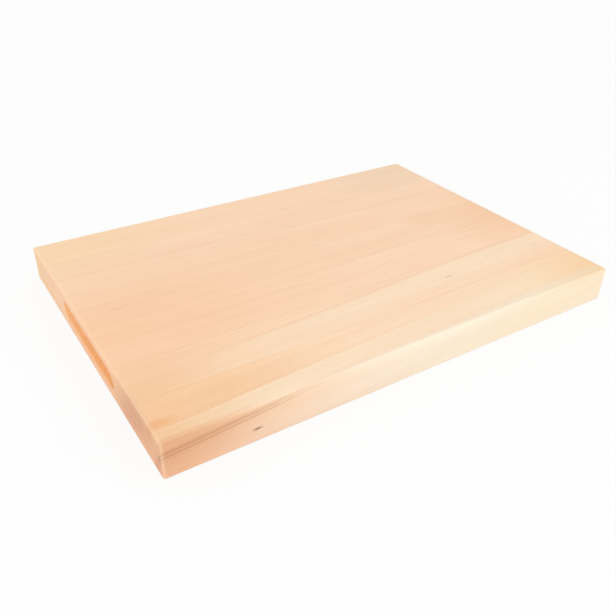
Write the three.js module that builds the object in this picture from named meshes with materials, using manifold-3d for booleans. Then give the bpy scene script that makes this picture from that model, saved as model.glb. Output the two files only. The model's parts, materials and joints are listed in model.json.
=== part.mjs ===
// Butcher block cutting board: hard maple staves glued edge to edge, planed flush, rounded over on
// every edge, with a stopped finger groove routed into each end so that the board can be lifted.
// Millimetres, +Z up. X runs along the staves and Y across them, from the front edge to the back.
// The origin is the middle of the underside.

import * as THREE from 'three';
import { RoundedBoxGeometry } from 'three/addons/geometries/RoundedBoxGeometry.js';
import { mergeVertices } from 'three/addons/utils/BufferGeometryUtils.js';
import Module from 'manifold-3d';

const wasm = await Module();
wasm.setup();

// Board
const boardLength = 508;
const boardThickness = 38.1;
const staveCount = 7;
const staveWidth = 50.8;
const glueThickness = 0.2;
const edgeRadius = 2;

// Finger groove in each end: the slot that a router bit with a rounded nose leaves
const grooveLength = 146;
const grooveHeight = 19;
const grooveDepth = 12.5;
const grooveCoveRadius = 6.4;
const grooveLipRadius = 1.5;

// Facets of the round stretches
const edgeSteps = 4;
const profileSteps = 2;
const slotEndSteps = 12;

// Cutting shapes run this far past what they cut
const cutOverrun = 10;

// Finish
const staveTones = ['#f4d3a8', '#f0caa0', '#efc79b', '#f1cca2', '#f3d1a9', '#f2cea4', '#f4d4ab'];
const staveRoughness = 0.55;
const glueTone = '#d9a668';
const glueRoughness = 0.4;

const boardWidth = staveCount * staveWidth + (staveCount - 1) * glueThickness;

/** A solid that can be cut, from a closed geometry. */
function solidOf(geometry) {
  geometry.deleteAttribute('normal');
  geometry.deleteAttribute('uv');
  const merged = mergeVertices(geometry);
  return new wasm.Manifold(new wasm.Mesh({
    numProp: 3,
    vertProperties: merged.attributes.position.array,
    triVerts: Uint32Array.from(merged.index.array),
  }));
}

/** The geometry of a cut solid. */
function geometryOf(solid) {
  const mesh = solid.getMesh();
  const geometry = new THREE.BufferGeometry();
  geometry.setAttribute('position', new THREE.BufferAttribute(mesh.vertProperties, 3));
  geometry.setIndex(new THREE.BufferAttribute(mesh.triVerts, 1));
  geometry.computeVertexNormals();
  return geometry;
}

/** A closed geometry through rings of equally many points, with the first and last ring filled in. */
function loft(rings) {
  const ringSize = rings[0].length;
  const lastRing = (rings.length - 1) * ringSize;
  const index = [];
  for (let start = 0; start < lastRing; start += ringSize) {
    for (let step = 0; step < ringSize; step++) {
      const here = start + step;
      const next = start + (step + 1) % ringSize;
      index.push(here, next, next + ringSize, here, next + ringSize, here + ringSize);
    }
  }
  for (let step = 1; step + 1 < ringSize; step++) {
    index.push(0, step + 1, step, lastRing, lastRing + step, lastRing + step + 1);
  }
  const geometry = new THREE.BufferGeometry().setFromPoints(rings.flat());
  geometry.setIndex(index);
  return geometry;
}

/** Half profile of the groove's router bit: x is the depth below the end face, y the radius. */
function bitProfile() {
  const wallRadius = grooveHeight / 2;
  const mouthRadius = wallRadius + grooveLipRadius;
  const profile = new THREE.Path();
  profile.moveTo(-cutOverrun, mouthRadius);
  profile.absarc(grooveLipRadius, mouthRadius, grooveLipRadius, Math.PI, 1.5 * Math.PI, false);
  profile.absarc(grooveDepth - grooveCoveRadius, wallRadius - grooveCoveRadius, grooveCoveRadius,
    0.5 * Math.PI, 0, true);
  return profile.getPoints(profileSteps);
}

/** Outline that the bit sweeps at one depth as it travels along the groove: a slot with round ends. */
function slotRing(depth, radius) {
  const travel = grooveLength - grooveHeight;
  const ring = [];
  for (const end of [1, -1]) {
    for (let step = 0; step <= slotEndSteps; step++) {
      const angle = Math.PI * (step / slotEndSteps - 0.5);
      ring.push(new THREE.Vector3(
        depth - boardLength / 2,
        end * (travel / 2 + radius * Math.cos(angle)),
        boardThickness / 2 + end * radius * Math.sin(angle),
      ));
    }
  }
  return ring;
}

/** The glued, planed and rounded board before it is told apart into its layers. */
function finishedBoard() {
  const blank = new RoundedBoxGeometry(boardLength, boardWidth, boardThickness, edgeSteps, edgeRadius);
  blank.translate(0, 0, boardThickness / 2);
  const leftGroove = loft(bitProfile().map((point) => slotRing(point.x, point.y)));
  const rightGroove = leftGroove.clone().rotateZ(Math.PI);
  return solidOf(blank).subtract(solidOf(leftGroove)).subtract(solidOf(rightGroove));
}

/** The space of one layer across the board, between two upright planes along the staves. */
function layerSpace(yFrom, yTo) {
  const xReach = boardLength / 2 + cutOverrun;
  const outline = new THREE.Shape();
  outline.moveTo(-xReach, yFrom);
  outline.lineTo(xReach, yFrom);
  outline.lineTo(xReach, yTo);
  outline.lineTo(-xReach, yTo);
  const space = new THREE.ExtrudeGeometry(outline, {
    depth: boardThickness + 2 * cutOverrun,
    bevelEnabled: false,
  });
  return solidOf(space.translate(0, 0, -cutOverrun));
}

/** One layer of the board as a named mesh. */
function layer(name, finished, yFrom, yTo, finish) {
  const mesh = new THREE.Mesh(
    geometryOf(finished.intersect(layerSpace(yFrom, yTo))),
    new THREE.MeshStandardMaterial({ ...finish, metalness: 0 }),
  );
  mesh.name = name;
  return mesh;
}

/** The front plane of a stave, counted from 1 at the board's front edge. */
function staveFront(number) {
  return (number - 1) * (staveWidth + glueThickness) - boardWidth / 2;
}

const board = new THREE.Group();
const finished = finishedBoard();
for (let number = 1; number <= staveCount; number++) {
  const isFirst = number === 1;
  const isLast = number === staveCount;
  const front = staveFront(number);
  const back = front + staveWidth;
  board.add(layer(
    `stave_${number}`,
    finished,
    isFirst ? front - cutOverrun : front,
    isLast ? back + cutOverrun : back,
    { color: staveTones[(number - 1) % staveTones.length], roughness: staveRoughness },
  ));
  if (!isLast) {
    board.add(layer(
      `glue_line_${number}`,
      finished,
      back,
      staveFront(number + 1),
      { color: glueTone, roughness: glueRoughness },
    ));
  }
}

export default board;
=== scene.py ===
"""Butcher block cutting board: the looks of its staves, glue lines and finger grooves.

The board is edge-glued hard maple, planed flush, rounded over on every edge, sanded and oiled, with a
finger groove routed into each end. It lies on a plain white studio floor. Everything is built around
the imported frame, in metres. A name that ends in _mm is in millimetres, one that ends in _degrees in
degrees.
"""

import json
import logging
import math
from dataclasses import dataclass
from enum import Enum
from functools import partial
from typing import Any, Sequence

import bmesh
import bpy
from mathutils import Matrix, Vector

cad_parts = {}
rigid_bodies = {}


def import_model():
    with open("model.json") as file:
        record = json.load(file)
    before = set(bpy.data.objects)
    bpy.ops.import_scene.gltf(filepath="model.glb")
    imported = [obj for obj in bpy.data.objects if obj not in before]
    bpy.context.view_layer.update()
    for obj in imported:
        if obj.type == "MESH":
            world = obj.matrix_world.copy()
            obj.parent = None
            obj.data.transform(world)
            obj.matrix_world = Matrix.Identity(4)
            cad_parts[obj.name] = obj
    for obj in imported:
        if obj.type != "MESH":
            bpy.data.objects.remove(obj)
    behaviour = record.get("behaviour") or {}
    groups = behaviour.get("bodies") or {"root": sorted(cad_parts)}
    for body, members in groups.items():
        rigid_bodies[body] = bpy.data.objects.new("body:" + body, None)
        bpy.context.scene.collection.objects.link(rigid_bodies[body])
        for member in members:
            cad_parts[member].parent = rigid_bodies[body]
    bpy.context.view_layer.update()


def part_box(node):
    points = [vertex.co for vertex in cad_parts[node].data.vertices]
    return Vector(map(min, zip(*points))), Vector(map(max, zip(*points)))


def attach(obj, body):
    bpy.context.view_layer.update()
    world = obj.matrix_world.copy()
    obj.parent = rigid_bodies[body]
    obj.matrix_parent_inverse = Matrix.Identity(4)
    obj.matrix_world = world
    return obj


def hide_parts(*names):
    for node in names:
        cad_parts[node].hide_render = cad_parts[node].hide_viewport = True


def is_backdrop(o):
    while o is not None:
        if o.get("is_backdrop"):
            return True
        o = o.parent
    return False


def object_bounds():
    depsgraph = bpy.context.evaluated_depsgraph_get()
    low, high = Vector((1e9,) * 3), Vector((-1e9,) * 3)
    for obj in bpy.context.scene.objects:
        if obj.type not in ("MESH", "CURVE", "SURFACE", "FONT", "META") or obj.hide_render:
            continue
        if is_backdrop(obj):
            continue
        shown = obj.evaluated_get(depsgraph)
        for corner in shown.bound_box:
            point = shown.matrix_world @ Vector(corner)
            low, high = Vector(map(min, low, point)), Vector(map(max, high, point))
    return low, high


LOG = logging.getLogger("cutting_board")
MM = 0.001
ROOT_BODY = "root"
GLUE_SLOT = "glue"
WHITE = (1.0, 1.0, 1.0, 1.0)

# Blender's names for the kinds of node that are used most
MATH, VECTOR_MATH = "ShaderNodeMath", "ShaderNodeVectorMath"
SPLIT, JOIN = "ShaderNodeSeparateXYZ", "ShaderNodeCombineXYZ"
MAP_RANGE, MIX = "ShaderNodeMapRange", "ShaderNodeMix"

# Planes that are closer together than this are one plane
SAME_PLANE_MM = 0.01

# Nearly all values of a noise pattern lie between these two
NOISE_LOW, NOISE_HIGH = 0.25, 0.75


class BoardEnd(Enum):
    """The two ends of the board, by the sign of their X."""

    LEFT = -1
    RIGHT = 1


class LayerKind(Enum):
    """The two kinds of layer in the glue-up, by what ends the names of their pieces."""

    STAVE = "wood"
    GLUE_LINE = "film"


class Tree(Enum):
    """The kinds of node tree that groups are made for, by Blender's names."""

    SHADER = "ShaderNodeTree"
    GEOMETRY = "GeometryNodeTree"


class Socket(Enum):
    """What goes into and comes out of a node group, by Blender's names."""

    NUMBER = "NodeSocketFloat"
    COUNT = "NodeSocketInt"
    VECTOR = "NodeSocketVector"
    COLOUR = "NodeSocketColor"
    GEOMETRY = "NodeSocketGeometry"
    COLLECTION = "NodeSocketCollection"
    MATERIAL = "NodeSocketMaterial"


def linear(hex_colour: str) -> tuple[float, float, float, float]:
    """Turns an sRGB hex colour into linear red, green, blue and alpha.

    Args:
        hex_colour: The colour as "#rrggbb".

    Returns:
        The linear colour, with an alpha of 1.
    """
    channels = []
    for start in (1, 3, 5):
        value = int(hex_colour[start:start + 2], 16) / 255
        channels.append(value / 12.92 if value <= 0.04045 else ((value + 0.055) / 1.055) ** 2.4)
    return (*channels, 1.0)


def add_node(tree: bpy.types.NodeTree, kind: str, inputs: dict[str, Any] | None = None,
             **settings: Any) -> bpy.types.Node:
    """Adds a node to a tree, with its settings and links.

    Args:
        tree: The tree that gets the node.
        kind: Blender's name for the type of node.
        inputs: Socket identifier to a plain value, to a socket, or to a node, whose first live output is
            then linked. A list links each of its members.
        **settings: Properties of the node itself.

    Returns:
        The new node.
    """
    node = tree.nodes.new(kind)
    for name, value in settings.items():
        setattr(node, name, value)
    sockets = {socket.identifier: socket for socket in node.inputs}
    for identifier, value in (inputs or {}).items():
        for source in value if isinstance(value, list) else [value]:
            if isinstance(source, bpy.types.Node):
                source = next(socket for socket in source.outputs if socket.enabled)
            if isinstance(source, bpy.types.NodeSocket):
                tree.links.new(source, sockets[identifier])
            else:
                sockets[identifier].default_value = source
    return node


def new_material(name: str) -> tuple[bpy.types.Material, partial]:
    """Starts a node material.

    Args:
        name: The material's name.

    Returns:
        The material with an empty tree, and add_node bound to that tree.
    """
    material = bpy.data.materials.new(name)
    material.use_nodes = True
    material.node_tree.nodes.clear()
    return material, partial(add_node, material.node_tree)


def place_on_board(add: partial) -> bpy.types.Node:
    """Adds the place on the board to a material.

    Args:
        add: add_node bound to the material's tree.

    Returns:
        The node that gives the place in millimetres.
    """
    metres = add("ShaderNodeTexCoord").outputs["Object"]
    return add(VECTOR_MATH, {"Vector": metres, "Scale": 1 / MM}, operation="SCALE")


def pattern_in_mm(add: partial, place: Any, grain_mm: Sequence[float], detail: float,
                  seed: Any = (0.0, 0.0, 0.0)) -> bpy.types.Node:
    """Adds a noise pattern of a real size.

    Args:
        add: add_node bound to the tree.
        place: Node or socket with a place in millimetres.
        grain_mm: How big the pattern's blots are along each axis.
        detail: How many finer patterns are laid over the first.
        seed: Where in the noise the pattern starts, or the socket that says it.

    Returns:
        The node that gives the pattern.
    """
    scaled = add(VECTOR_MATH,
                 {"Vector": place, "Vector_001": tuple(1 / size for size in grain_mm), "Vector_002": seed},
                 operation="MULTIPLY_ADD")
    return add("ShaderNodeTexNoise", {"Vector": scaled, "Scale": 1.0, "Detail": detail})


class NodeGroup:
    """A node group with named inputs and outputs, which the tools know only by identifier."""

    def __init__(self, name: str, inputs: dict[str, Socket], outputs: dict[str, Socket],
                 kind: Tree = Tree.SHADER) -> None:
        """Starts an empty group.

        Args:
            name: The group's name.
            inputs: Input name to type of socket.
            outputs: Output name to type of socket.
            kind: The type of tree.
        """
        self.tree = bpy.data.node_groups.new(name, kind.value)
        self.add = partial(add_node, self.tree)
        self.identifiers: dict[str, str] = {}
        for way, sockets in (("INPUT", inputs), ("OUTPUT", outputs)):
            for title, socket in sockets.items():
                made = self.tree.interface.new_socket(name=title, in_out=way, socket_type=socket.value)
                self.identifiers[title] = made.identifier
        self.given = self.add("NodeGroupInput").outputs

    def give(self, results: dict[str, Any]) -> None:
        """Links what the group has worked out to its outputs.

        Args:
            results: Output name to the node or socket that gives it.
        """
        self.add("NodeGroupOutput", {self.identifiers[name]: source for name, source in results.items()})

    def use(self, add: partial, values: dict[str, Any]) -> Any:
        """Puts the group into a material.

        Args:
            add: add_node bound to the material's tree.
            values: Input name to a value, a node or a socket.

        Returns:
            The group's output sockets, by name.
        """
        inputs = {self.identifiers[name]: value for name, value in values.items()}
        return add("ShaderNodeGroup", inputs, node_tree=self.tree).outputs


@dataclass(frozen=True)
class FingerGroove:
    """The slot routed into each end by a bit with a rounded nose, its lip eased by sanding."""

    length_mm: float = 146.0
    height_mm: float = 19.0
    depth_mm: float = 12.5
    cove_radius_mm: float = 6.4
    lip_radius_mm: float = 1.5
    overrun_mm: float = 10.0
    arc_steps: int = 8
    end_steps: int = 32

    def _profile(self) -> list[tuple[float, float]]:
        """Works out the bit's half profile.

        Returns:
            Pairs of depth below the end face and radius from the bit's axis, in millimetres.
        """
        wall = self.height_mm / 2
        mouth = wall + self.lip_radius_mm
        lip, cove = [], []
        for step in range(self.arc_steps + 1):
            angle = math.pi / 2 * step / self.arc_steps
            lip.append((self.lip_radius_mm * (1 - math.cos(angle)),
                        mouth - self.lip_radius_mm * math.sin(angle)))
            cove.append((self.depth_mm - self.cove_radius_mm * (1 - math.sin(angle)),
                         wall - self.cove_radius_mm * (1 - math.cos(angle))))
        return [(-self.overrun_mm, mouth), *lip, *cove]

    def cutter(self, end: BoardEnd, end_x: float, middle_z: float) -> bpy.types.Object:
        """Makes the volume that the bit sweeps out of one end.

        Args:
            end: Which end of the board.
            end_x: Where that end's face is, in metres.
            middle_z: Half the board's thickness, in metres.

        Returns:
            A closed mesh object, not yet in any collection.
        """
        travel = (self.length_mm - self.height_mm) / 2
        shell = bmesh.new()
        rings = []
        for depth, radius in self._profile():
            ring = []
            for side in (1, -1):
                for step in range(self.end_steps + 1):
                    angle = math.pi * (step / self.end_steps - 0.5)
                    ring.append(shell.verts.new((
                        end_x - end.value * depth * MM,
                        side * (travel + radius * math.cos(angle)) * MM,
                        middle_z + side * radius * math.sin(angle) * MM,
                    )))
            rings.append(ring)
        for outer, inner in zip(rings, rings[1:]):
            for step, vertex in enumerate(outer):
                shell.faces.new((vertex, outer[step - 1], inner[step - 1], inner[step]))
        shell.faces.new(rings[0])
        shell.faces.new(rings[-1])
        bmesh.ops.recalc_face_normals(shell, faces=shell.faces)
        mesh = bpy.data.meshes.new(f"groove_{end.name.lower()}")
        shell.to_mesh(mesh)
        shell.free()
        return bpy.data.objects.new(mesh.name, mesh)


@dataclass(frozen=True)
class Streak:
    """A band of wood of another tone that follows the growth rings along a stave.

    Its two edges are placed where they meet the cutting face half way along the board. It is at its full
    strength at full_x and has faded out at gone_x. Unless these are given, it thins slowly from left to
    right and runs past both ends.
    """

    front_y_mm: float
    back_y_mm: float
    front_soft_mm: float
    back_soft_mm: float
    colour: str
    strength: float
    full_x_mm: float = -1000.0
    gone_x_mm: float = 2000.0


@dataclass(frozen=True)
class Spot:
    """A soft spot of another tone: a pin knot, a mineral fleck, a patch that oil or hands darkened, or a
    tone laid over the outside, some of it painted light.
    """

    middle_mm: tuple[float, float, float]
    reach_mm: tuple[float, float, float]
    colour: str
    strength: float


@dataclass(frozen=True)
class StaveGrain:
    """How one stave lay in its tree: where the pith was, how the grain drifts, and its tones."""

    pith_y_mm: float
    pith_z_mm: float
    drift_y: float
    drift_z: float
    ring_mm: float
    wood: str
    streaks: tuple[Streak, ...] = ()
    flecks: tuple[Spot, ...] = ()

    def ring_at(self, y_mm: float, z_mm: float) -> float:
        """Gives the distance from the pith, in millimetres, half way along the board."""
        return math.hypot(y_mm - self.pith_y_mm, z_mm - self.pith_z_mm)


# The staves from the front edge to the back
STAVE_GRAINS: tuple[StaveGrain, ...] = (
    StaveGrain(
        pith_y_mm=-357.7, pith_z_mm=-106.0, drift_y=0.0434, drift_z=0.020, ring_mm=2.5, wood="#fdddbb",
        streaks=(
            # Pale sapwood along the front edge, nearly white on the bark side, its paleness on the front
            # face partly painted light, and the warm wood behind it
            Streak(-151.1, -120.0, 0.8, 20.0, "#f8c99b", 0.85, -262.0, 0.0),
            Streak(-151.2, -149.5, 0.4, 6.0, "#eeb689", 0.25, -150.0, 120.0),
            Streak(-230.0, -151.3, 5.0, 1.4, "#fbe1c0", 1.0),
            Streak(-300.0, -192.0, 5.0, 18.0, "#f0e6d3", 1.0),
            Streak(-206.0, -188.0, 10.0, 6.0, "#f2deb8", 0.50, 170.0, 20.0),
            Streak(-168.0, -151.5, 8.0, 1.0, "#f2c08c", 0.75, -262.0, -150.0),
            # Brown stain of the left corner with its dark rings
            Streak(-205.0, -166.0, 20.0, 4.0, "#ecb58d", 0.60, -262.0, -150.0),
            Streak(-205.0, -172.5, 20.0, 4.0, "#ecb58d", 0.70, -262.0, 40.0),
            Streak(-179.0, -172.5, 14.0, 4.0, "#d2946a", 0.50, -262.0, -150.0),
            Streak(-171.4, -171.0, 0.4, 0.8, "#b07a50", 0.28, -254.0, -60.0),
            Streak(-172.9, -172.5, 0.4, 0.9, "#a5693e", 0.58, -270.0, -50.0),
            Streak(-174.5, -174.2, 0.3, 0.6, "#b07a50", 0.24, -235.0, -20.0),
            Streak(-175.9, -175.5, 0.5, 1.2, "#a5693e", 0.48, -270.0, -30.0),
            Streak(-178.1, -177.7, 0.5, 0.8, "#b07a50", 0.22, -254.0, -140.0),
        ),
        # Two patches at the left corner that took more oil, and the pin knot of the front edge
        flecks=(
            Spot((-252.0, -158.0, 38.1), (30.0, 9.0, 24.0), "#eb9d56", 0.55),
            Spot((-254.5, -162.0, 8.0), (5.0, 28.0, 20.0), "#f2ba92", 0.55),
            Spot((-172.6, -178.4, 14.0), (7.0, 2.0, 2.1), "#7a4a2c", 0.85),
        ),
    ),
    StaveGrain(
        pith_y_mm=60.0, pith_z_mm=-150.0, drift_y=0.060, drift_z=0.006, ring_mm=3.0, wood="#fcd8b5",
        # A pale band that fades out to the left, with a thin dark ring along its back
        streaks=(
            Streak(-103.0, -89.1, 26.0, 1.2, "#fde1c1", 0.85, -60.0, -230.0),
            Streak(-88.9, -88.3, 0.4, 3.0, "#e6b082", 0.15, -150.0, -235.0),
        ),
        flecks=(
            Spot((96.0, -103.8, 38.1), (8.0, 1.4, 1.0), "#a8703f", 0.45),
            Spot((228.0, -100.5, 38.1), (6.0, 1.5, 1.0), "#c08a5c", 0.30),
        ),
    ),
    StaveGrain(
        pith_y_mm=-90.0, pith_z_mm=-150.0, drift_y=-0.012, drift_z=0.004, ring_mm=3.4, wood="#fcd6b4",
        flecks=(Spot((-4.0, -69.0, 38.1), (7.0, 1.2, 1.0), "#d39a6c", 0.30),),
    ),
    StaveGrain(
        pith_y_mm=60.0, pith_z_mm=-110.0, drift_y=0.008, drift_z=-0.006, ring_mm=3.0, wood="#fbd5b2",
        flecks=(
            Spot((-104.0, -22.5, 38.1), (26.0, 1.0, 1.0), "#e0a272", 0.35),
            Spot((-217.0, 13.0, 38.1), (13.0, 2.0, 1.5), "#e8ae80", 0.35),
        ),
    ),
    StaveGrain(
        pith_y_mm=250.0, pith_z_mm=120.0, drift_y=-0.010, drift_z=0.004, ring_mm=2.6, wood="#fcd6b3",
    ),
    StaveGrain(
        pith_y_mm=-40.0, pith_z_mm=-170.0, drift_y=0.014, drift_z=0.003, ring_mm=3.2, wood="#fcd6b4",
        flecks=(
            Spot((33.0, 124.0, 38.1), (8.0, 1.4, 1.0), "#b98052", 0.45),
            Spot((166.0, 116.0, 38.1), (12.0, 1.5, 1.0), "#c99a72", 0.30),
        ),
    ),
    StaveGrain(
        pith_y_mm=330.0, pith_z_mm=-140.0, drift_y=0.006, drift_z=-0.004, ring_mm=2.7, wood="#fcd7b4",
    ),
)

# Where the board took more or less oil, across the joints
OIL_PATCHES: tuple[Spot, ...] = (
    Spot((-254.0, -25.0, 19.0), (290.0, 125.0, 200.0), "#fbcaa1", 0.90),
    Spot((-262.0, -135.0, 19.0), (170.0, 90.0, 200.0), "#f4c395", 0.85),
    Spot((-240.0, 165.0, 19.0), (200.0, 90.0, 200.0), "#fad8ac", 0.80),
    Spot((262.0, -25.0, 19.0), (120.0, 130.0, 200.0), "#f8caa2", 0.90),
    Spot((163.0, 22.0, 19.0), (45.0, 28.0, 60.0), "#f5c098", 0.50),
    Spot((262.0, -165.0, 44.0), (95.0, 45.0, 26.0), "#f7cf9e", 0.80),
    Spot((205.0, 150.0, 19.0), (110.0, 75.0, 200.0), "#f2d3b2", 0.70),
)

# Tones over the outside, whatever the grain: the left end darker towards its front corner, the front edge
# brown on the left and paler further on, partly as painted light on the front face; the right corner darker
SURFACE_TONES: tuple[Spot, ...] = (
    Spot((-254.5, -130.0, 28.0), (5.0, 62.0, 32.0), "#bd7f5a", 0.52),
    Spot((-254.5, -105.0, 12.0), (5.0, 50.0, 20.0), "#bd7f5a", 0.36),
    Spot((-262.0, -180.0, 36.0), (150.0, 7.0, 15.0), "#d2976d", 0.70),
    # Paler along the front face's upper band and rounding: partly pale wood, partly painted light
    Spot((10.0, -179.0, 36.0), (220.0, 8.0, 14.0), "#fdf0dd", 0.60),
    Spot((265.0, -158.0, 42.0), (190.0, 60.0, 8.0), "#f5c483", 0.90),
)


@dataclass(frozen=True)
class GrainPattern:
    """One pattern in the figure of the wood, and what it does to the tone from its darkest to its lightest.

    Its grain is measured along the stave, from ring to ring and around the pith.
    """

    grain_mm: tuple[float, float, float]
    detail: float
    dark: float
    light: float


@dataclass
class OiledMaple:
    """Hard maple, planed, sanded fine and rubbed with oil.

    The oil leaves a soft satin skin over pale, even wood. Growth rings show as thin tan lines, fibres as
    a faint silkiness along the stave, rays as tiny flecks, and cut ends soak up more oil and darken.
    """

    board_mm: Vector
    groove: FingerGroove

    # Noise starts this much further on for each stave, so that no two staves have the same figure
    seed_step: tuple[float, float, float] = (17.3, 5.1, 2.7)

    # The trunk is never quite straight: the grain bows by a few millimetres over a hand's length
    bow_mm: float = 7.0
    bow_span_mm: tuple[float, float, float] = (240.0, 90.0, 90.0)
    bow_detail: float = 1.5

    # Good and lean years come in runs that shift the rings, the rings waver, and each ends in latewood
    run_of_years_mm: float = 13.0
    run_of_years_rings: float = 2.2
    waver_span_mm: tuple[float, float, float] = (45.0, 6.0, 25.0)
    waver_rings: float = 0.5
    ring_detail: float = 2.0
    latewood: str = "#d8a06c"
    latewood_share: float = 0.13

    # One year's growth as part of the year and darkness: slow to darken, a thin dark line, pale again
    year: tuple[tuple[float, float], ...] = (
        (0.0, 0.35), (0.10, 0.0), (0.60, 0.12), (0.92, 1.0), (1.0, 0.35),
    )

    # Real fibres and rays are finer than half a millimetre, so they are drawn coarser to show at all
    band: GrainPattern = GrainPattern((330.0, 8.0, 40.0), 4.0, 0.965, 1.03)
    cloud: GrainPattern = GrainPattern((130.0, 45.0, 60.0), 3.0, 0.965, 1.03)
    fibre: GrainPattern = GrainPattern((30.0, 0.8, 0.9), 3.0, 0.975, 1.025)
    ray: GrainPattern = GrainPattern((2.2, 9.0, 0.8), 1.0, 0.98, 1.02)

    # A darker tone is also a warmer one: red falls least and blue most
    warmth: tuple[float, float, float] = (0.5, 1.0, 1.5)

    # Cut ends, told by how squarely they face along the board; the groove, whose warm near-white tint in
    # place of the ends' darker one is painted light against its shade; and the lighter edges of the ends
    end_facing: tuple[float, float] = (0.5, 0.95)
    soaked_end: str = "#f5eae2"
    groove_painted_light: str = "#fffce6"
    groove_margin_mm: float = 1.0
    pale_end_edge: str = "#ffdcb8"
    pale_edge_share: float = 0.45
    pale_edge_mm: float = 3.5

    # The sanded surface: its relief, the sums of fibre and ray that it spans, and its satin from low to high
    relief_mm: float = 0.05
    relief_strength: float = 0.25
    relief_span: tuple[float, float] = (0.6, 1.4)
    roughness: tuple[float, float] = (0.56, 0.46)
    ior: float = 1.5

    def __post_init__(self) -> None:
        """Makes the node groups that all staves share."""
        self._place = self._place_in_tree()
        self._streak = self._ring_streak()
        self._figure = self._figure_of_wood()
        self._spot = self._soft_spot()
        self._worked = self._worked_surfaces()

    def _place_in_tree(self) -> NodeGroup:
        """Turns a place on the board into a place in the tree that the stave came from.

        Returns:
            A group whose Wood output is the distance along the grain, from the pith and around it.
        """
        group = NodeGroup(
            "place_in_tree",
            dict.fromkeys(("Position", "Pith", "Drift", "Seed"), Socket.VECTOR),
            {"Wood": Socket.VECTOR},
        )
        add, given = group.add, group.given
        along = add(SPLIT, {"Vector": given["Position"]}).outputs["X"]
        drift = add(VECTOR_MATH, {"Vector": given["Drift"], "Scale": along}, operation="SCALE")
        from_pith = add(VECTOR_MATH, {"Vector": given["Position"], "Vector_001": given["Pith"]},
                        operation="SUBTRACT")
        straight = add(VECTOR_MATH, {"Vector": from_pith, "Vector_001": drift}, operation="SUBTRACT")
        bow = pattern_in_mm(add, given["Position"], self.bow_span_mm, self.bow_detail, given["Seed"])
        off_line = add(VECTOR_MATH, {"Vector": bow.outputs["Color"], "Vector_001": (0.5, 0.5, 0.5)},
                       operation="SUBTRACT")
        bent = add(VECTOR_MATH,
                   {"Vector": off_line, "Vector_001": (0.0, self.bow_mm, self.bow_mm),
                    "Vector_002": straight},
                   operation="MULTIPLY_ADD")
        parts = add(SPLIT, {"Vector": bent}).outputs
        section = add(JOIN, {"Y": parts["Y"], "Z": parts["Z"]})
        radius = add(VECTOR_MATH, {"Vector": section}, operation="LENGTH")
        angle = add(MATH, {"Value": parts["Z"], "Value_001": parts["Y"]}, operation="ARCTAN2")
        around = add(MATH, {"Value": angle, "Value_001": radius}, operation="MULTIPLY")
        wood = add(JOIN, {"X": along, "Y": radius, "Z": around})
        group.give({"Wood": wood})
        return group

    def _figure_of_wood(self) -> NodeGroup:
        """Lays the figure of the wood over its plain tone.

        Returns:
            A group that gives the figured colour and the height of the sanded surface.
        """
        group = NodeGroup(
            "figure_of_maple",
            {"Wood": Socket.VECTOR, "Ring Width": Socket.NUMBER, "Seed": Socket.VECTOR,
             "Plain": Socket.COLOUR},
            {"Colour": Socket.COLOUR, "Height": Socket.NUMBER},
        )
        add, given = group.add, group.given
        ringed = self._ringed(add, given)
        tone: Any = 1.0
        noises = []
        for pattern in (self.band, self.cloud, self.fibre, self.ray):
            noise = pattern_in_mm(add, given["Wood"], pattern.grain_mm, pattern.detail, given["Seed"])
            level = add(MAP_RANGE,
                        {"Value": noise, "From Min": NOISE_LOW, "From Max": NOISE_HIGH,
                         "To Min": pattern.dark, "To Max": pattern.light})
            tone = add(MATH, {"Value": tone, "Value_001": level}, operation="MULTIPLY")
            noises.append(noise)
        even_tone = add(JOIN, {"X": tone, "Y": tone, "Z": tone})
        warm_tone = add(VECTOR_MATH, {"Vector": even_tone, "Vector_001": self.warmth}, operation="POWER")
        colour = add(VECTOR_MATH, {"Vector": ringed, "Vector_001": warm_tone}, operation="MULTIPLY")
        fibre, ray = noises[-2:]
        height = add(MATH, {"Value": fibre, "Value_001": ray}, operation="ADD")
        group.give({"Colour": colour, "Height": height})
        return group

    def _ringed(self, add: partial, given: Any) -> bpy.types.Node:
        """Draws the growth rings, each with a latewood line of its own darkness.

        Args:
            add: add_node bound to the figure's tree.
            given: The figure's input sockets.

        Returns:
            The node that gives the ringed colour.
        """
        radius = add(SPLIT, {"Vector": given["Wood"]}).outputs["Y"]
        years = add(MATH, {"Value": radius, "Value_001": self.run_of_years_mm}, operation="DIVIDE")
        luck = add("ShaderNodeTexNoise", {"W": years, "Scale": 1.0, "Detail": self.ring_detail},
                   noise_dimensions="1D")
        even_ring = add(MATH, {"Value": radius, "Value_001": given["Ring Width"]}, operation="DIVIDE")
        ring = add(MATH, {"Value": luck, "Value_001": self.run_of_years_rings, "Value_002": even_ring},
                   operation="MULTIPLY_ADD")
        waver = pattern_in_mm(add, given["Wood"], self.waver_span_mm, self.ring_detail, given["Seed"])
        phase = add(MATH, {"Value": waver, "Value_001": self.waver_rings, "Value_002": ring},
                    operation="MULTIPLY_ADD")
        year = add(MATH, {"Value": phase}, operation="FLOOR")
        season = add(MATH, {"Value": phase}, operation="FRACT")
        line_luck = add("ShaderNodeTexWhiteNoise", {"W": year}, noise_dimensions="1D")
        growth = add("ShaderNodeValToRGB", {"Fac": season})
        ramp = growth.color_ramp
        ramp.interpolation = "EASE"
        for part, _ in self.year[1:-1]:
            ramp.elements.new(part)
        for element, (_, dark) in zip(ramp.elements, self.year):
            element.color = (dark, dark, dark, 1.0)
        line = add(MATH, {"Value": growth, "Value_001": line_luck.outputs["Value"]}, operation="MULTIPLY")
        share = add(MATH, {"Value": line, "Value_001": self.latewood_share}, operation="MULTIPLY")
        return add(MIX,
                   {"Factor_Float": share, "A_Color": given["Plain"], "B_Color": linear(self.latewood)},
                   data_type="RGBA")

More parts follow.
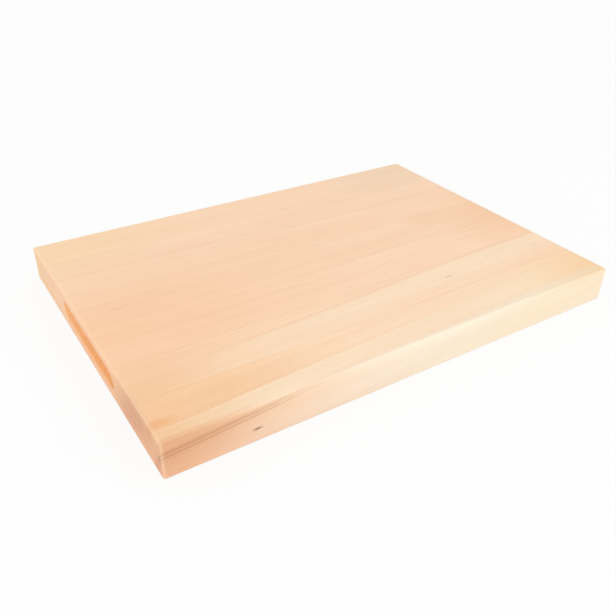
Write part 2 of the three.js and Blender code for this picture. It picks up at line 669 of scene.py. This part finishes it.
    def _worked_surfaces(self) -> NodeGroup:
        """Tells the cut ends, the edges of the ends that are drawn lighter, and the grooves from the plain
        faces.

        Returns:
            A group whose outputs are shares from 0 to 1.
        """
        group = NodeGroup(
            "worked_surfaces",
            {"Position": Socket.VECTOR},
            {"End": Socket.NUMBER, "Edge": Socket.NUMBER, "Groove": Socket.NUMBER},
        )
        add, given = group.add, group.given
        normal = add("ShaderNodeNewGeometry").outputs["Normal"]
        facing = add(SPLIT, {"Vector": normal}).outputs["X"]
        endwise = add(MATH, {"Value": facing}, operation="ABSOLUTE")
        slanted, square = self.end_facing
        end = add(MAP_RANGE, {"Value": endwise, "From Min": slanted, "From Max": square},
                  interpolation_type="SMOOTHSTEP")

        half = self.board_mm / 2
        from_middle = add(VECTOR_MATH, {"Vector": given["Position"], "Vector_001": (0.0, 0.0, half.z)},
                          operation="SUBTRACT")
        reach = add(VECTOR_MATH, {"Vector": from_middle}, operation="ABSOLUTE")
        reaches = add(SPLIT, {"Vector": reach}).outputs
        near = {}
        for axis, limit in zip("XYZ", half):
            near[axis] = add(MAP_RANGE,
                             {"Value": reaches[axis], "From Min": limit - self.pale_edge_mm, "From Max": limit},
                             interpolation_type="SMOOTHSTEP")
        edge: Any = 0.0
        for other in "YZ":
            both = add(MATH, {"Value": near["X"], "Value_001": near[other]}, operation="MULTIPLY")
            edge = add(MATH, {"Value": edge, "Value_001": both}, operation="MAXIMUM")

        mouth = self.groove.lip_radius_mm + self.groove_margin_mm
        half_length, half_height = self.groove.length_mm / 2, self.groove.height_mm / 2
        bounds = {
            "X": (half.x - self.groove.lip_radius_mm, half.x),
            "Y": (half_length + mouth, half_length + 2 * mouth),
            "Z": (half_height + mouth, half_height + 2 * mouth),
        }
        groove: Any = 1.0
        for axis, (inside, outside) in bounds.items():
            within = add(MAP_RANGE, {"Value": reaches[axis], "From Min": outside, "From Max": inside},
                         interpolation_type="SMOOTHSTEP")
            groove = add(MATH, {"Value": groove, "Value_001": within}, operation="MULTIPLY")
        not_groove = add(MATH, {"Value": 1.0, "Value_001": groove}, operation="SUBTRACT")
        plain_end = add(MATH, {"Value": end, "Value_001": not_groove}, operation="MULTIPLY")
        group.give({"End": plain_end, "Edge": edge, "Groove": groove})
        return group

    @staticmethod
    def _ring_streak() -> NodeGroup:
        """Lays a streak between two growth rings over the wood.

        Returns:
            A group that gives the streaked colour.
        """
        numbers = ("Inner", "Inner Fade", "Outer", "Outer Fade", "Full", "Gone", "Strength")
        group = NodeGroup(
            "ring_streak",
            {"Wood": Socket.VECTOR, **dict.fromkeys(numbers, Socket.NUMBER), "Under": Socket.COLOUR,
             "Streak": Socket.COLOUR},
            {"Colour": Socket.COLOUR},
        )
        add, given = group.add, group.given
        parts = add(SPLIT, {"Vector": given["Wood"]}).outputs
        share = given["Strength"]
        for axis, none, all_of_it in (("Y", "Inner Fade", "Inner"), ("Y", "Outer Fade", "Outer"),
                                      ("X", "Gone", "Full")):
            part = add(MAP_RANGE,
                       {"Value": parts[axis], "From Min": given[none], "From Max": given[all_of_it]},
                       interpolation_type="SMOOTHSTEP")
            share = add(MATH, {"Value": share, "Value_001": part}, operation="MULTIPLY")
        colour = add(MIX, {"Factor_Float": share, "A_Color": given["Under"], "B_Color": given["Streak"]},
                     data_type="RGBA")
        group.give({"Colour": colour})
        return group

    @staticmethod
    def _soft_spot() -> NodeGroup:
        """Lays a soft spot, drawn out along the grain, over the wood.

        Returns:
            A group that gives the spotted colour.
        """
        group = NodeGroup(
            "soft_spot",
            {**dict.fromkeys(("Position", "Middle", "Reach", "Drift"), Socket.VECTOR),
             "Strength": Socket.NUMBER, "Under": Socket.COLOUR, "Spot": Socket.COLOUR},
            {"Colour": Socket.COLOUR},
        )
        add, given = group.add, group.given
        offset = add(VECTOR_MATH, {"Vector": given["Position"], "Vector_001": given["Middle"]},
                     operation="SUBTRACT")
        ahead = add(SPLIT, {"Vector": offset}).outputs["X"]
        drift = add(VECTOR_MATH, {"Vector": given["Drift"], "Scale": ahead}, operation="SCALE")
        straight = add(VECTOR_MATH, {"Vector": offset, "Vector_001": drift}, operation="SUBTRACT")
        scaled = add(VECTOR_MATH, {"Vector": straight, "Vector_001": given["Reach"]}, operation="DIVIDE")
        distance = add(VECTOR_MATH, {"Vector": scaled}, operation="LENGTH")
        share = add(MAP_RANGE,
                    {"Value": distance, "From Min": 1.0, "From Max": 0.0, "To Max": given["Strength"]},
                    interpolation_type="SMOOTHSTEP")
        colour = add(MIX, {"Factor_Float": share, "A_Color": given["Under"], "B_Color": given["Spot"]},
                     data_type="RGBA")
        group.give({"Colour": colour})
        return group

    def _streaked(self, add: partial, grain: StaveGrain, wood: bpy.types.NodeSocket, colour: Any) -> Any:
        """Lays a stave's streaks over its plain tone.

        Args:
            add: add_node bound to the material's tree.
            grain: How the stave lay in its tree.
            wood: Socket with the place in the tree.
            colour: The plain tone, or the socket that gives it.

        Returns:
            The colour, or the socket that gives it.
        """
        top = self.board_mm.z
        for streak in grain.streaks:
            (inner, inner_soft), (outer, outer_soft) = sorted((
                (grain.ring_at(streak.front_y_mm, top), streak.front_soft_mm),
                (grain.ring_at(streak.back_y_mm, top), streak.back_soft_mm),
            ))
            colour = self._streak.use(add, {
                "Wood": wood,
                "Inner": inner,
                "Inner Fade": inner - inner_soft,
                "Outer": outer,
                "Outer Fade": outer + outer_soft,
                "Full": streak.full_x_mm,
                "Gone": streak.gone_x_mm,
                "Strength": streak.strength,
                "Under": colour,
                "Streak": linear(streak.colour),
            })["Colour"]
        return colour

    def _spotted(self, add: partial, spots: Sequence[Spot], place: bpy.types.Node, colour: Any,
                 drift: Sequence[float] = (0.0, 0.0, 0.0)) -> Any:
        """Lays spots over a colour.

        Args:
            add: add_node bound to the material's tree.
            spots: The spots, from the lowest to the uppermost.
            place: Node with the place on the board in millimetres.
            colour: The colour below, or the socket that gives it.
            drift: How far the grain runs off along Y and Z for each millimetre along X, where the spots
                follow it.

        Returns:
            The colour, or the socket that gives it.
        """
        for spot in spots:
            colour = self._spot.use(add, {
                "Position": place,
                "Middle": spot.middle_mm,
                "Reach": spot.reach_mm,
                "Drift": drift,
                "Strength": spot.strength,
                "Under": colour,
                "Spot": linear(spot.colour),
            })["Colour"]
        return colour

    def material(self, number: int, grain: StaveGrain) -> bpy.types.Material:
        """Dresses one stave.

        Args:
            number: The stave's number, from the front edge.
            grain: How the stave lay in its tree.

        Returns:
            The stave's own material.
        """
        material, add = new_material(f"oiled_maple_{number}")
        place = place_on_board(add)
        seed = tuple(number * step for step in self.seed_step)
        drift = (0.0, grain.drift_y, grain.drift_z)
        wood = self._place.use(add, {
            "Position": place,
            "Pith": (0.0, grain.pith_y_mm, grain.pith_z_mm),
            "Drift": drift,
            "Seed": seed,
        })["Wood"]
        plain = self._spotted(add, OIL_PATCHES, place, linear(grain.wood))
        plain = self._streaked(add, grain, wood, plain)
        figure = self._figure.use(add, {
            "Wood": wood,
            "Ring Width": grain.ring_mm,
            "Seed": seed,
            "Plain": plain,
        })
        colour = self._spotted(add, grain.flecks, place, figure["Colour"], drift)
        colour = self._spotted(add, SURFACE_TONES, place, colour)
        worked = self._worked.use(add, {"Position": place})
        # Painted light: the groove's warm near-white tint takes the place of the ends' darker one, against
        # the shade inside it
        for share, tint in (("End", self.soaked_end), ("Groove", self.groove_painted_light)):
            colour = add(MIX, {"Factor_Float": worked[share], "A_Color": colour, "B_Color": linear(tint)},
                         data_type="RGBA", blend_type="MULTIPLY")
        # The edges of the ends are drawn lighter
        rubbed = add(MATH, {"Value": worked["Edge"], "Value_001": self.pale_edge_share}, operation="MULTIPLY")
        colour = add(MIX, {"Factor_Float": rubbed, "A_Color": colour, "B_Color": linear(self.pale_end_edge)},
                     data_type="RGBA")
        bump = add("ShaderNodeBump",
                   {"Strength": self.relief_strength, "Distance": self.relief_mm * MM,
                    "Height": figure["Height"]})
        low, high = self.relief_span
        low_roughness, high_roughness = self.roughness
        rough = add(MAP_RANGE,
                    {"Value": figure["Height"], "From Min": low, "From Max": high,
                     "To Min": low_roughness, "To Max": high_roughness})
        shader = add("ShaderNodeBsdfPrincipled",
                     {"Base Color": colour, "Roughness": rough, "IOR": self.ior, "Normal": bump})
        add("ShaderNodeOutputMaterial", {"Surface": shader})
        return material


@dataclass(frozen=True)
class CuredGlue:
    """Cured wood glue: amber and a little glossy where a hairline of it shows between staves."""

    film_mm: tuple[float, float, float] = (45.0, 4.0, 12.0)
    film_detail: float = 3.0
    thick_film: str = "#c98f4f"
    thin_film: str = "#eac592"
    thick_roughness: float = 0.3
    thin_roughness: float = 0.5
    ior: float = 1.47

    def material(self) -> bpy.types.Material:
        """Builds the glue's material.

        Returns:
            A material that varies along the joint as the squeezed film does.
        """
        material, add = new_material("cured_wood_glue")
        film = pattern_in_mm(add, place_on_board(add), self.film_mm, self.film_detail)
        colour = add(MIX,
                     {"Factor_Float": film, "A_Color": linear(self.thick_film),
                      "B_Color": linear(self.thin_film)},
                     data_type="RGBA")
        rough = add(MAP_RANGE,
                    {"Value": film, "To Min": self.thick_roughness, "To Max": self.thin_roughness})
        shader = add("ShaderNodeBsdfPrincipled",
                     {"Base Color": colour, "Roughness": rough, "IOR": self.ior})
        add("ShaderNodeOutputMaterial", {"Surface": shader})
        return material


@dataclass
class BoardLayerTree:
    """The rule that makes every layer of the glue-up: a slice of the rounded and grooved board."""

    sharp_degrees: float = 30.0
    slab_overrun: float = 0.02

    def __post_init__(self) -> None:
        """Builds the Geometry Nodes tree."""
        sizes = ("Length", "Width", "Thickness", "Edge Radius", "Front", "Back")
        self.group = NodeGroup(
            "board_layer",
            {**dict.fromkeys(sizes, Socket.NUMBER), "Edge Steps": Socket.COUNT,
             "Cutters": Socket.COLLECTION, "Finish": Socket.MATERIAL},
            {"Layer": Socket.GEOMETRY},
            Tree.GEOMETRY,
        )
        add, given = self.group.add, self.group.given
        size = add(JOIN, {"X": given["Length"], "Y": given["Width"], "Z": given["Thickness"]})
        rounded = self._rounded_board(add, given, size)
        cutters = add("GeometryNodeCollectionInfo", {"Collection": given["Cutters"]})
        solid_cutters = add("GeometryNodeRealizeInstances", {"Geometry": cutters})
        grooved = add("GeometryNodeMeshBoolean", {"Mesh 1": rounded, "Mesh 2": solid_cutters},
                      operation="DIFFERENCE", solver="MANIFOLD")
        slab = self._slab(add, given, size)
        layer = add("GeometryNodeMeshBoolean", {"Mesh 2": [grooved, slab]},
                    operation="INTERSECT", solver="MANIFOLD")
        smooth = add("GeometryNodeSetShadeSmooth", {"Geometry": layer, "Shade Smooth": True},
                     domain="FACE")
        edge_angle = add("GeometryNodeInputMeshEdgeAngle").outputs["Unsigned Angle"]
        is_sharp = add(MATH, {"Value": edge_angle, "Value_001": math.radians(self.sharp_degrees)},
                       operation="GREATER_THAN")
        creased = add("GeometryNodeSetShadeSmooth",
                      {"Geometry": smooth, "Selection": is_sharp, "Shade Smooth": False}, domain="EDGE")
        whole = add("GeometryNodeRealizeInstances", {"Geometry": creased})
        dressed = add("GeometryNodeSetMaterial", {"Geometry": whole, "Material": given["Finish"]})
        self.group.give({"Layer": dressed})

    @staticmethod
    def _rounded_board(add: partial, given: Any, size: bpy.types.Node) -> bpy.types.Node:
        """Adds the whole board with every edge rounded.

        Each corner of a gridded cube is pushed out from the core of the board by the edge radius.

        Args:
            add: add_node bound to the tree.
            given: The group's input sockets.
            size: The board's size as a vector.

        Returns:
            The node that gives the rounded board, standing on its underside.
        """
        cells = add("FunctionNodeIntegerMath",
                    {"Value": given["Edge Steps"], "Value_001": 2, "Value_002": 1},
                    operation="MULTIPLY_ADD")
        points = add("FunctionNodeIntegerMath", {"Value": cells, "Value_001": 1}, operation="ADD")
        cube = add("GeometryNodeMeshCube",
                   {"Size": (1.0, 1.0, 1.0), "Vertices X": points, "Vertices Y": points,
                    "Vertices Z": points})
        place = add("GeometryNodeInputPosition")
        octant = add(VECTOR_MATH, {"Vector": place}, operation="SIGN")
        half_cell = add(MATH, {"Value": 0.5, "Value_001": cells}, operation="DIVIDE")
        inset = add(VECTOR_MATH, {"Vector": octant, "Scale": half_cell}, operation="SCALE")
        off_core = add(VECTOR_MATH, {"Vector": place, "Vector_001": inset}, operation="SUBTRACT")
        outward = add(VECTOR_MATH, {"Vector": off_core}, operation="NORMALIZE")
        half_size = add(VECTOR_MATH, {"Vector": size, "Scale": 0.5}, operation="SCALE")
        radius = add(JOIN, {axis: given["Edge Radius"] for axis in "XYZ"})
        core = add(VECTOR_MATH, {"Vector": half_size, "Vector_001": radius}, operation="SUBTRACT")
        core_corner = add(VECTOR_MATH, {"Vector": octant, "Vector_001": core}, operation="MULTIPLY")
        skin = add(VECTOR_MATH, {"Vector": outward, "Vector_001": radius, "Vector_002": core_corner},
                   operation="MULTIPLY_ADD")
        rise = add(VECTOR_MATH, {"Vector": half_size, "Vector_001": (0.0, 0.0, 1.0)}, operation="MULTIPLY")
        return add("GeometryNodeSetPosition", {"Geometry": cube, "Position": skin, "Offset": rise})

    def _slab(self, add: partial, given: Any, size: bpy.types.Node) -> bpy.types.Node:
        """Adds the space between the layer's front and back planes.

        Args:
            add: add_node bound to the tree.
            given: The group's input sockets.
            size: The board's size as a vector.

        Returns:
            The node that gives a box past the board in length and height.
        """
        deep = add(MATH, {"Value": given["Back"], "Value_001": given["Front"]}, operation="SUBTRACT")
        past = self.slab_overrun
        bigger = add(VECTOR_MATH, {"Vector": size, "Vector_001": (past, 0.0, past)}, operation="ADD")
        reach = add(SPLIT, {"Vector": bigger}).outputs
        extent = add(JOIN, {"X": reach["X"], "Y": deep, "Z": reach["Z"]})
        box = add("GeometryNodeMeshCube", {"Size": extent})
        both = add(MATH, {"Value": given["Back"], "Value_001": given["Front"]}, operation="ADD")
        centre = add(JOIN, {"Y": both, "Z": given["Thickness"]})
        half_way = add(VECTOR_MATH, {"Vector": centre, "Scale": 0.5}, operation="SCALE")
        return add("GeometryNodeTransform", {"Geometry": box, "Translation": half_way})

    def layer(self, name: str, values: dict[str, Any]) -> bpy.types.Object:
        """Makes one layer as a plain mesh.

        Args:
            name: The new piece's name.
            values: The tree's inputs by name.

        Returns:
            The piece, at the origin with its place in its mesh and no modifier left.
        """
        scene = bpy.context.scene
        maker = bpy.data.objects.new(f"{name}_maker", bpy.data.meshes.new(f"{name}_maker"))
        scene.collection.objects.link(maker)
        rule = maker.modifiers.new("layer", "NODES")
        rule.node_group = self.group.tree
        for key, value in values.items():
            rule[self.group.identifiers[key]] = value
        even = maker.modifiers.new("even_normals", "WEIGHTED_NORMAL")
        even.keep_sharp = True
        graph = bpy.context.evaluated_depsgraph_get()
        mesh = bpy.data.meshes.new_from_object(maker.evaluated_get(graph), depsgraph=graph)
        mesh.name = name
        blank = maker.data
        bpy.data.objects.remove(maker)
        bpy.data.meshes.remove(blank)
        piece = bpy.data.objects.new(name, mesh)
        scene.collection.objects.link(piece)
        return piece


@dataclass
class Board:
    """The glue-up: staves with a film of glue between them, rounded over and grooved as one."""

    edge_radius_mm: float = 2.0
    edge_steps: int = 8
    groove: FingerGroove = FingerGroove()

    def build(self) -> list[bpy.types.Object]:
        """Makes and dresses every stave and glue line.

        Returns:
            The staves and then the glue lines, each from the front edge to the back.
        """
        low, high = (Vector(corner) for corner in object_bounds())
        size = high - low
        cutters = bpy.data.collections.new("cutters")
        bpy.context.scene.collection.children.link(cutters)
        for end in BoardEnd:
            cutters.objects.link(self.groove.cutter(end, end.value * size.x / 2, size.z / 2))
        shared = {
            "Length": size.x,
            "Width": size.y,
            "Thickness": size.z,
            "Edge Radius": self.edge_radius_mm * MM,
            "Edge Steps": self.edge_steps,
            "Cutters": cutters,
        }
        tree = BoardLayerTree()
        maple = OiledMaple(size / MM, self.groove)
        glue = CuredGlue().material()
        pieces = []
        for number, grain in enumerate(STAVE_GRAINS, start=1):
            node = f"stave_{number}"
            values = {**shared, "Finish": maple.material(number, grain)}
            pieces.append(self._layer(tree, node, LayerKind.STAVE, values, node))
        for number in range(1, len(STAVE_GRAINS)):
            node = f"glue_line_{number}"
            values = {**shared, "Finish": glue}
            pieces.append(self._layer(tree, node, LayerKind.GLUE_LINE, values, GLUE_SLOT))
        for cutter in list(cutters.objects):
            mesh = cutter.data
            bpy.data.objects.remove(cutter)
            bpy.data.meshes.remove(mesh)
        bpy.data.collections.remove(cutters)
        return pieces

    @staticmethod
    def _layer(tree: BoardLayerTree, node: str, kind: LayerKind, values: dict[str, Any],
               slot: str) -> bpy.types.Object:
        """Makes the piece that stands for one node of the frame.

        Args:
            tree: The rule for a layer.
            node: The frame's node.
            kind: Whether it is a stave or a glue line.
            values: The tree's inputs by name, without the layer's front and back.
            slot: Not used.

        Returns:
            The piece, attached to the root body.
        """
        low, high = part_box(node)
        front, back = low.y, high.y
        outside = values["Width"] / 2 - SAME_PLANE_MM * MM
        if front < -outside:
            front -= tree.slab_overrun
        if back > outside:
            back += tree.slab_overrun
        piece = tree.layer(f"{node}_{kind.value}", {**values, "Front": front, "Back": back})
        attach(piece, ROOT_BODY)
        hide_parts(node)
        return piece


@dataclass(frozen=True)
class Lamp:
    """A square soft box: where it hangs, its side and its power. It faces the board."""

    name: str
    place: tuple[float, float, float]
    side: float
    watts: float


@dataclass(frozen=True)
class Studio:
    """White floor, soft light and the camera at the photograph's angle."""

    floor_side: float = 12.0
    floor_tone: str = "#f5f4f2"
    floor_glow: float = 0.88
    ambient: float = 0.83
    camera_aim_mm: tuple[float, float, float] = (-45.95, -55.18, 19.05)
    camera_distance_mm: float = 694.3
    camera_azimuth_degrees: float = -33.31
    camera_elevation_degrees: float = 32.68
    camera_roll_degrees: float = 1.25
    camera_lens_mm: float = 40.25
    camera_sensor_mm: float = 36.0
    lamps: tuple[Lamp, ...] = (
        Lamp("key", (0.9, -2.2, 1.3), 1.4, 17.8),
        Lamp("fill", (-1.6, -0.25, 0.5), 1.0, 5.0),
    )

    def build(self) -> None:
        """Sets up the floor, the lamps, the surroundings and the camera."""
        self._floor()
        self._surroundings()
        for lamp in self.lamps:
            self._lamp(lamp)
        self._camera()
        bpy.context.scene.view_settings.view_transform = "Standard"

    def _floor(self) -> None:
        """Lays the floor: white to the camera, but still darkened where the board shades it."""
        half = self.floor_side / 2
        corners = [(-half, -half, 0), (half, -half, 0), (half, half, 0), (-half, half, 0)]
        mesh = bpy.data.meshes.new("studio_floor")
        mesh.from_pydata(corners, [], [(0, 1, 2, 3)])
        material, add = new_material("white_studio_floor")
        lit = add("ShaderNodeBsdfDiffuse", {"Color": linear(self.floor_tone)})
        glow = add("ShaderNodeEmission", {"Color": WHITE, "Strength": 1.0})
        share = add(MATH, {"Value": self._seen(add), "Value_001": self.floor_glow}, operation="MULTIPLY")
        mixed = add("ShaderNodeMixShader", {"Fac": share, "Shader": lit, "Shader_001": glow})
        add("ShaderNodeOutputMaterial", {"Surface": mixed})
        mesh.materials.append(material)
        floor = bpy.data.objects.new("studio_floor", mesh)
        bpy.context.scene.collection.objects.link(floor)
        floor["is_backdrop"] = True

    @staticmethod
    def _seen(add: partial) -> bpy.types.Node:
        """Tells what is looked at from what only gives light.

        Args:
            add: add_node bound to the tree.

        Returns:
            The node that gives 1 where it is seen in the picture, in a reflection or through glass.
        """
        ray = add("ShaderNodeLightPath").outputs
        direct = add(MATH, {"Value": ray["Is Camera Ray"], "Value_001": ray["Is Glossy Ray"]},
                     operation="MAXIMUM")
        return add(MATH, {"Value": direct, "Value_001": ray["Is Transmission Ray"]}, operation="MAXIMUM")

    def _surroundings(self) -> None:
        """Surrounds the board with white: full white where it is seen, even light elsewhere."""
        world = bpy.data.worlds.new("white_studio")
        world.use_nodes = True
        world.node_tree.nodes.clear()
        add = partial(add_node, world.node_tree)
        strength = add(MAP_RANGE, {"Value": self._seen(add), "To Min": self.ambient, "To Max": 1.0})
        light = add("ShaderNodeBackground", {"Color": WHITE, "Strength": strength})
        add("ShaderNodeOutputWorld", {"Surface": light})
        bpy.context.scene.world = world

    @staticmethod
    def _lamp(lamp: Lamp) -> None:
        """Hangs one soft box.

        Args:
            lamp: The soft box.
        """
        light = bpy.data.lights.new(lamp.name, "AREA")
        light.shape = "SQUARE"
        light.size = lamp.side
        light.energy = lamp.watts
        holder = bpy.data.objects.new(lamp.name, light)
        holder.location = lamp.place
        holder.rotation_euler = (-holder.location).to_track_quat("-Z", "Y").to_euler()
        bpy.context.scene.collection.objects.link(holder)

    def _camera(self) -> None:
        """Points the camera as the photograph was taken."""
        azimuth = math.radians(self.camera_azimuth_degrees)
        elevation = math.radians(self.camera_elevation_degrees)
        back = Vector((math.sin(azimuth) * math.cos(elevation), -math.cos(azimuth) * math.cos(elevation),
                       math.sin(elevation)))
        right = Vector((math.cos(azimuth), math.sin(azimuth), 0.0))
        turn = Matrix((right, back.cross(right), back)).transposed().to_4x4()
        roll = Matrix.Rotation(math.radians(self.camera_roll_degrees), 4, "Z")
        place = (Vector(self.camera_aim_mm) + back * self.camera_distance_mm) * MM
        lens = bpy.data.cameras.new("photo_camera")
        lens.sensor_width = self.camera_sensor_mm
        lens.lens = self.camera_lens_mm
        camera = bpy.data.objects.new("photo_camera", lens)
        camera.matrix_world = Matrix.Translation(place) @ turn @ roll
        bpy.context.scene.collection.objects.link(camera)
        bpy.context.scene.camera = camera


def main() -> None:
    """Builds the board and its studio around the frame."""
    logging.basicConfig(level=logging.INFO, format="%(name)s: %(message)s")
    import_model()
    for piece in Board().build():
        LOG.info("%s: %d faces", piece.name, len(piece.data.polygons))
    Studio().build()


if __name__ == "__main__":
    main()
